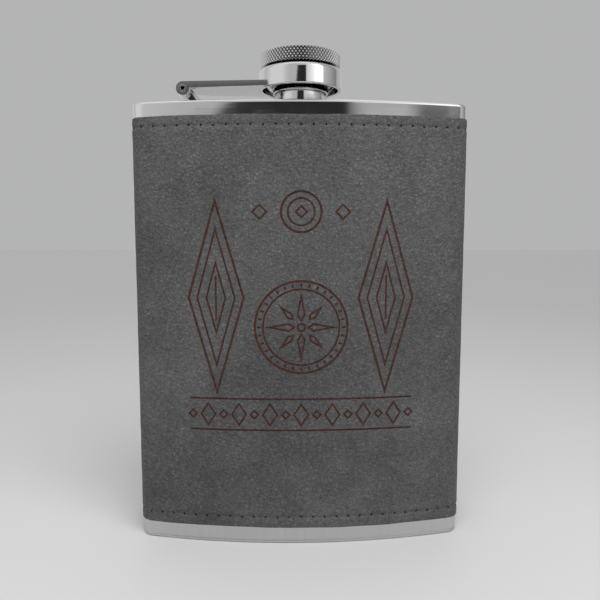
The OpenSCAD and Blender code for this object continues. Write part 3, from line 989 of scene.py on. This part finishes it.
# %% [markdown]
# The cap is five pieces. The drawn cup stays on the arm. Through it goes a rivet that joins the inner cap to
# the knurled knob, so both of these turn together inside the cup, and the soft seal lies loose under the
# inner cap's lid.

# %% Cup
CUP_R = 11.4
CUP_LOW = 3.85
CUP_HIGH = 9.45

cup_line = rounded([(2.08, CUP_HIGH, 0.1), (CUP_R, CUP_HIGH, 1.2), (CUP_R, CUP_LOW, 0.32),
                    (CUP_R - 1, CUP_LOW, 0.32), (CUP_R - 1, CUP_HIGH - 0.9, 0.7),
                    (2.08, CUP_HIGH - 0.9, 0.1)], steps=7)
cup = turned("cap_shell", cup_line, 192)
cup.data.materials.append(mirror)
hand_over(cup, "arm", "polished_steel", "cap_cup")

# %% [markdown]
# The knob's band is knurled by two crossing sets of grooves. Booleans could cut each groove, but a relief on
# the turned grid gives the same shape from far fewer faces. Its height is the smaller of two saw-tooth waves,
# one for each set, which leaves rows of small pyramids. The grid has eight points to a diamond each way, so
# the grooves fall exactly on grid lines.

# %% Knurled knob
KNOB_R = 10.9
KNOB_LOW = 9.65
KNURL_LOW = 10.07
KNURL_HIGH = 13.22
KNOB_HIGH = 13.62
DIAMONDS = 72
DIAMOND_ROWS = 2.5
KNURL_DEPTH = 0.42


def tooth(x):
    """1 at whole numbers, 0 half way between them, straight in between."""
    return 1 - 2 * np.abs(x - np.round(x))


def knurl_relief(a, r, h):
    """Outward move of the band: pyramids where both saw-tooth waves are high, minus the depth elsewhere."""
    on_band = (r > KNOB_R - 0.05) & (h > KNURL_LOW - 0.01) & (h < KNURL_HIGH + 0.01)
    u = a / (2 * np.pi) * DIAMONDS
    v = (h - KNURL_LOW) / (KNURL_HIGH - KNURL_LOW) * DIAMOND_ROWS
    height = np.minimum(tooth(u + v), tooth(u - v))
    return np.where(on_band, KNURL_DEPTH * (np.minimum(height * 1.15, 0.92) - 0.92), 0)


band = np.linspace(KNURL_LOW, KNURL_HIGH, round(DIAMOND_ROWS * 8) + 1)
knob_line = np.concatenate([
    rounded([(0, KNOB_LOW, 0), (8.6, KNOB_LOW, 0.3), (9.9, KNOB_LOW + 0.25, 0.4),
             (KNOB_R - 0.4, KNURL_LOW - 0.12, 0.0)], closed=False),
    np.stack([KNOB_R + 0 * band, band], -1),
    rounded([(KNOB_R - 0.42, KNURL_HIGH + 0.12, 0), (KNOB_R - 0.95, KNOB_HIGH, 0.25), (6.0, KNOB_HIGH, 0),
             (2.0, KNOB_HIGH, 0), (0, KNOB_HIGH, 0)], closed=False),
])
knob = turned("knurled_grip", knob_line, DIAMONDS * 8, knurl_relief, sharp=50)
knob.data.materials.append(knurl)
hand_over(knob, "cap", "knurled_steel", "knurled_knob")

# %% [markdown]
# These three hardly show while the cap is shut, but an open cap shows them all. The inner cap is a threaded
# lid, the rivet is a plain stem whose low flat head holds that lid, and the seal is a stepped disc that
# presses on the neck's mouth. All three are turned too.

# %% Inner cap, rivet and seal
CAP_R = 7.65
CAP_LOW = 3.05
CAP_BORE = 7.15
LID_LOW = 5.9
LID_HIGH = 6.5


def inner_thread(a, r, h):
    """The mating ridge stands 0.32 mm into the bore, half a pitch higher than the neck's."""
    return -0.32 * thread_ridge(a, h, THREAD_Z + 0.75, 0.85) * (np.abs(r - CAP_BORE) < 0.01)


wall = np.linspace(LID_LOW - 0.1, 3.45, 26)
inner_line = np.concatenate([
    rounded([(2.0, LID_HIGH, 0), (CAP_R, LID_HIGH, 0.3), (CAP_R, CAP_LOW, 0.24), (CAP_BORE, CAP_LOW, 0.2),
             (CAP_BORE, 3.4, 0)], closed=False)[:-1],
    np.stack([CAP_BORE + 0 * wall, wall], -1)[::-1],
    [(CAP_BORE, LID_LOW), (2.92, LID_LOW), (2.0, LID_HIGH - 0.02)],
])
inner = turned("inner_cap_shell", inner_line, 180, inner_thread)
inner.data.materials.append(mirror)
hand_over(inner, "cap", "polished_steel", "inner_cap")

rivet_line = rounded([(0, LID_LOW + 0.01, 0), (2.82, LID_LOW + 0.01, 0.08), (1.99, LID_HIGH, 0.1),
                      (1.99, 11.82, 0.2), (0, 11.82, 0)], closed=False)
rivet = turned("cap_stem", rivet_line, 64)
rivet.data.materials.append(satin)
hand_over(rivet, "cap", "satin_steel", "cap_rivet")

seal_line = rounded([(0, 5.13, 0), (5.6, 5.13, 0), (5.75, 5.24, 0.08), (6.75, 5.24, 0.1), (6.75, 5.87, 0.15),
                     (0, 5.87, 0)], closed=False)
disc = turned("seal_disc", seal_line, 96)
disc.data.materials.append(seal)
hand_over(disc, "seal", "seal", "seal_liner")

# %% [markdown]
# ## Arm and hinge
# The arm and its bracket are stamped and folded from strip. Both are flat in side view, so a side view
# carried across the flask gives either one, and a few helpers draw the arcs, the bars and the cutters.

# %% Side views
HINGE_X = -31.8
HINGE_Z = BODY_H + 3.75
KNUCKLE_R = 1.85
PIN_R = 0.8
PIN_BORE_R = 0.55


def arc_points(a0, a1, radius, count):
    """Arc (x, z) about the hinge's axis, from a0 to a1 degrees."""
    a = np.radians(np.linspace(a0, a1, count))
    return np.stack([HINGE_X + radius * np.cos(a), HINGE_Z + radius * np.sin(a)], -1)


def across(name, line, half_width):
    """A closed side view (x, z) carried from y = neck_y - w to neck_y + w, where w may change with x."""
    line = np.asarray(line, float)
    w = half_width(line[:, 0]) if callable(half_width) else np.full(len(line), float(half_width))
    near = np.stack([line[:, 0], NECK_Y - w, line[:, 1]], -1)
    far = np.stack([line[:, 0], NECK_Y + w, line[:, 1]], -1)
    count = len(line)
    faces = grid_faces(2, count, close_columns=True)
    faces += [list(range(count))[::-1], [count + i for i in range(count)]]
    return make_object(name, np.concatenate([near, far]), faces)


def upright(name, radius, low, high, count):
    """A round bar on the neck's axis, from z = low to z = high."""
    a = np.arange(count) * 2 * np.pi / count
    circle = np.stack([radius * np.cos(a), NECK_Y + radius * np.sin(a)], -1)
    points = np.concatenate([np.c_[circle, np.full(count, low)], np.c_[circle, np.full(count, high)]])
    faces = grid_faces(2, count, close_columns=True)
    return make_object(name, points, faces + [list(range(count))[::-1], [count + i for i in range(count)]])


# %% [markdown]
# The arm's side view is one closed line: the knuckle's circle, then the strap to the cup. It grows wider
# towards the cup. The slot for the bracket, the cup's round wall and the pin's hole are cut out of it. Its
# edges are rounded before the hole is cut, because the pin hides the hole's own edge.

# %% Arm
ARM_TOP = HINGE_Z + KNUCKLE_R
ARM_HALF_HINGE = 4.8
ARM_HALF_CUP = 7.0
ARM_END = -9.4
ARM_T = 1.5


def arm_half(x):
    """Half the arm's width: straight from the hinge to the cup."""
    return ARM_HALF_HINGE + (x - HINGE_X) * (ARM_HALF_CUP - ARM_HALF_HINGE) / (ARM_END - HINGE_X)


def sheared(piece):
    """Faces that look along y are the strap's sheared edges, so they take the second material."""
    normals = np.zeros(3 * len(piece.data.polygons))
    piece.data.polygons.foreach_get("normal", normals)
    ends = np.abs(normals.reshape(-1, 3)[:, 1]) > 0.97
    piece.data.polygons.foreach_set("material_index", ends.astype(int))


arm_line = np.concatenate([arc_points(2, -270, KNUCKLE_R, 49), [(-6.0, ARM_TOP), (-6.0, ARM_TOP - ARM_T)]])
arm = across("arm_strap", arm_line, arm_half)
slot_box = [(HINGE_X - 5, HINGE_Z - 5), (HINGE_X + 2.2, HINGE_Z - 5), (HINGE_X + 2.2, HINGE_Z + 5),
            (HINGE_X - 5, HINGE_Z + 5)]
combine(arm, across("slot", slot_box, 2.1))
combine(arm, upright("wall", CUP_R + 0.01, BODY_H, BODY_H + 12, 192))
bevelled(arm, 0.16)
combine(arm, across("bore", arc_points(0, 352.5, PIN_R + 0.05, 48), 9))
arm.data.materials.append(mirror)
arm.data.materials.append(shaded_edge_skin)
sheared(arm)
hand_over(arm, "arm", "polished_steel", "swing_arm")

# %% [markdown]
# The bracket is a folded leg with a knuckle at its top and a foot welded to the top pan. The leg's side view
# is the knuckle's circle, open where two parallel lines lean from it down into the foot. Leg and foot are
# rounded first and then joined, so that no bevel has to follow the line where they meet. The pin is a short
# hollow tube, flared a little at both ends so that it stays in, and its bore is painted near black as painted
# shade.

# %% Bracket and pin
LEG_A = 42.0
LEG_HALF = 1.15
lean = np.array([math.cos(math.radians(LEG_A)), -math.sin(math.radians(LEG_A))])
side = np.array([-lean[1], lean[0]]) * LEG_HALF
pin_at = np.array([HINGE_X, HINGE_Z])
tangent = math.degrees(math.asin(LEG_HALF / KNUCKLE_R))
upper_foot = pin_at + side + lean * ((HINGE_Z + side[1] - BODY_H - 0.3) / math.sin(math.radians(LEG_A)))
lower_foot = pin_at - side + lean * ((HINGE_Z - side[1] - BODY_H - 0.3) / math.sin(math.radians(LEG_A)))
leg_line = np.concatenate([arc_points(-LEG_A + tangent, 360 - LEG_A - tangent, KNUCKLE_R, 41),
                           [lower_foot, upper_foot]])
bracket = across("hinge_leg", leg_line, 2.0)
bevelled(bracket, 0.55, 4)
foot = rounded([(HINGE_X + 1.2, BODY_H, 0), (HINGE_X + 10, BODY_H, 0), (HINGE_X + 10, BODY_H + 0.8, 0.3),
                (HINGE_X + 1.2, BODY_H + 0.8, 0.3)])
plate = across("foot", foot, 3.2)
bevelled(plate, 0.16)
combine(bracket, plate, "UNION")
combine(bracket, across("bore", arc_points(0, 352.5, PIN_R, 48), 9))
bracket.data.materials.append(mirror)
hand_over(bracket, "root", "polished_steel", "hinge_bracket")


def hollow_pin():
    """A ring section (distance along y, radius) carried round the hinge's axis; the faces of the bore take
    the second material, near black as painted shade."""
    half, flare = 4.8, 0.1
    line = rounded([(-half - flare, PIN_BORE_R, 0.1), (-half - flare, 1.0, 0.1), (-half, 1.0, 0),
                    (-half + flare, 0.79, 0), (half - flare, 0.79, 0), (half, 1.0, 0),
                    (half + flare, 1.0, 0.1), (half + flare, PIN_BORE_R, 0.1)])
    a = np.arange(48) * 2 * np.pi / 48
    y, r = line[:, :1], line[:, 1:]
    points = np.stack([HINGE_X + r * np.cos(a), NECK_Y + y + 0 * a, HINGE_Z + r * np.sin(a)], -1)
    tube = make_object("hinge_tube", points, grid_faces(*points.shape[:2], True, True))
    centres = np.zeros(3 * len(tube.data.polygons))
    tube.data.polygons.foreach_get("center", centres)
    x, _, z = centres.reshape(-1, 3).T
    bore = np.hypot(x - HINGE_X, z - HINGE_Z) < PIN_BORE_R + 0.002
    tube.data.polygons.foreach_set("material_index", bore.astype(int))
    return tube


pin = hollow_pin()
pin.data.materials.append(mirror)
pin.data.materials.append(painted_hole_shade)
hand_over(pin, "root", "polished_steel", "hinge_pin")

# %% [markdown]
# ## Stage, light and camera
# The flask stands on a plain pale floor. It is one square, much larger than any view, a hair below the base
# so that the two don't flicker where they meet.

# %% Floor
def pale_floor():
    """A flat square well beyond the view, at the height that the flask stands on."""
    half, level = 3000.0 * MM, -0.02 * MM
    points = [(-half, -half, level), (half, -half, level), (half, half, level), (-half, half, level)]
    mesh = bpy.data.meshes.new("floor")
    mesh.from_pydata(points, [], [(0, 1, 2, 3)])
    floor = bpy.data.objects.new("floor", mesh)
    bpy.context.scene.collection.objects.link(floor)
    material, paint, place = new_finish("pale_floor")
    tone = paint.mix(paint.noise(place, 3.0), (0.53, 0.53, 0.53, 1), (0.56, 0.56, 0.56, 1))
    shade(paint, Base_Color=tone, Roughness=0.6)
    mesh.materials.append(material)
    return floor


floor = pale_floor()
print("floor corners, m", [tuple(v.co) for v in floor.data.vertices])

# %% [markdown]
# Polished steel shows what stands round it. Panels and walls could be built, but a sky that is a function of
# direction is simpler and casts no stray shadows. It has a wide soft light on the right, a dark gap in the
# middle where the camera stands, and pale tones elsewhere, brighter overhead. The camera itself sees a plain
# grey backdrop.

# %% Studio sky
world = bpy.data.worlds.new("studio")
bpy.context.scene.world = world
world.use_nodes = True
sky = Paint(world.node_tree)
toward_x, toward_y, toward_z = sky.parts(sky.add("TexCoord", output="Generated"))
turn = sky.add("Math", {"operation": "ARCTAN2"}, {0: toward_x, 1: 0 - toward_y}) * (180 / math.pi)
rise = sky.add("Math", {"operation": "ARCSINE"}, {0: toward_z}) * (180 / math.pi)


def window(value, low, high, soft):
    """1 between low and high and 0 outside, eased over the soft width at each end."""
    return sky.ease(value, low - soft, low + soft) * (1 - sky.ease(value, high - soft, high + soft))


def layer(level, mask, value):
    """The level where the mask is 0 and the value where it is 1."""
    return level + (value - level) * mask


def bands(value, stops):
    """Grey level that follows the stops (degrees, level), straight in between."""
    degrees = [d for d, _ in stops]
    low, high = degrees[0], degrees[-1]
    share = sky.add("MapRange", None, {0: value, 1: low, 2: high, 3: 0.0, 4: 1.0})
    greys = [((d - low) / (high - low), (g / 2, g / 2, g / 2)) for d, g in stops]
    return sky.parts(sky.add("ValToRGB", {"stops": greys}, {0: share}))[0] * 2


# Tones round the flask at eye level, by direction from the camera's side
around_view = bands(turn, [(-180, 0.62), (-127, 0.68), (-110, 0.55), (-86, 0.78), (-52, 0.78), (-40, 0.62),
                           (-30, 0.54), (66, 0.60), (76, 0.50), (97, 0.36), (112, 0.24), (122, 0.50),
                           (180, 0.62)])
ground = sky.ease(rise, -60.0, -5.0, 0.30, 0.45)
level = layer(ground, sky.ease(rise, -8.0, 6.0), around_view)
level = layer(level, sky.ease(rise, 45.0, 75.0), 1.0)
level = layer(level, window(turn, 14.0, 62.0, 2.5) * window(rise, -10.0, 12.0, 1.5), 0.14)
level = layer(level, window(turn, 16.0, 31.0, 3.5) * window(rise, 2.0, 12.0, 3.0), 0.58)
box = bands(turn, [(14, 0.70), (30, 1.05), (44, 1.5), (63, 1.6)])
level = layer(level, window(turn, 15.0, 64.0, 1.8) * window(rise, 12.3, 50.0, 0.6), box)
left = (rise - 10.7) * 3.1 - 20.0
gap = sky.ease(turn - left, -2.5, 2.0) * (1 - sky.ease(turn, 12.5, 16.0))
level = layer(level, gap * window(rise, -6.0, 32.0, 4.0), 0.025)
is_camera = sky.add("LightPath")
strength = level * (1 - is_camera) + is_camera
tint = sky.mix(is_camera, (1, 1, 1, 1), (0.455, 0.457, 0.462, 1))
background = sky.add("Background", None, {"Color": tint, "Strength": strength})
sky.add("OutputWorld", None, {"Surface": background})
print("sky nodes", len(sky.tree.nodes))


# %% [markdown]
# A round panel above and in front gives the soft fall of light down the leather. The steel has its light
# from the sky, so the panel isn't seen in reflections.

# %% Lamps
def lamp(name, place, target, size, power):
    """A round panel at a place, in metres, that faces the target."""
    data = bpy.data.lights.new(name, "AREA")
    data.shape, data.size, data.energy = "DISK", size, power
    light = bpy.data.objects.new(name, data)
    bpy.context.scene.collection.objects.link(light)
    light.location = place
    light.rotation_euler = (Vector(target) - Vector(place)).to_track_quat("-Z", "Y").to_euler()
    return light


top_panel = lamp("top_panel", (0.03, -0.17, 0.34), (0, 0, 0.11), 0.26, 1.05)
top_panel.visible_glossy = False
print("lamp", top_panel.name)

# %% [markdown]
# The camera looks almost level at the front, a little above the middle, from about two flask widths away,
# which gives the slight spread of the near edges.

# %% Camera
camera_data = bpy.data.cameras.new("camera")
camera_data.sensor_width = 36.0
camera_data.lens = 37.35
camera_data.clip_start = 0.01
camera = bpy.data.objects.new("camera", camera_data)
bpy.context.scene.collection.objects.link(camera)
camera.location = (-0.00415, -0.18030, 0.08704)
camera.rotation_euler = Vector((0.02268, 0.99397, -0.10726)).to_track_quat("-Z", "Y").to_euler()
bpy.context.scene.camera = camera
bpy.context.scene.view_settings.view_transform = "Standard"
print("lens, mm", camera_data.lens)
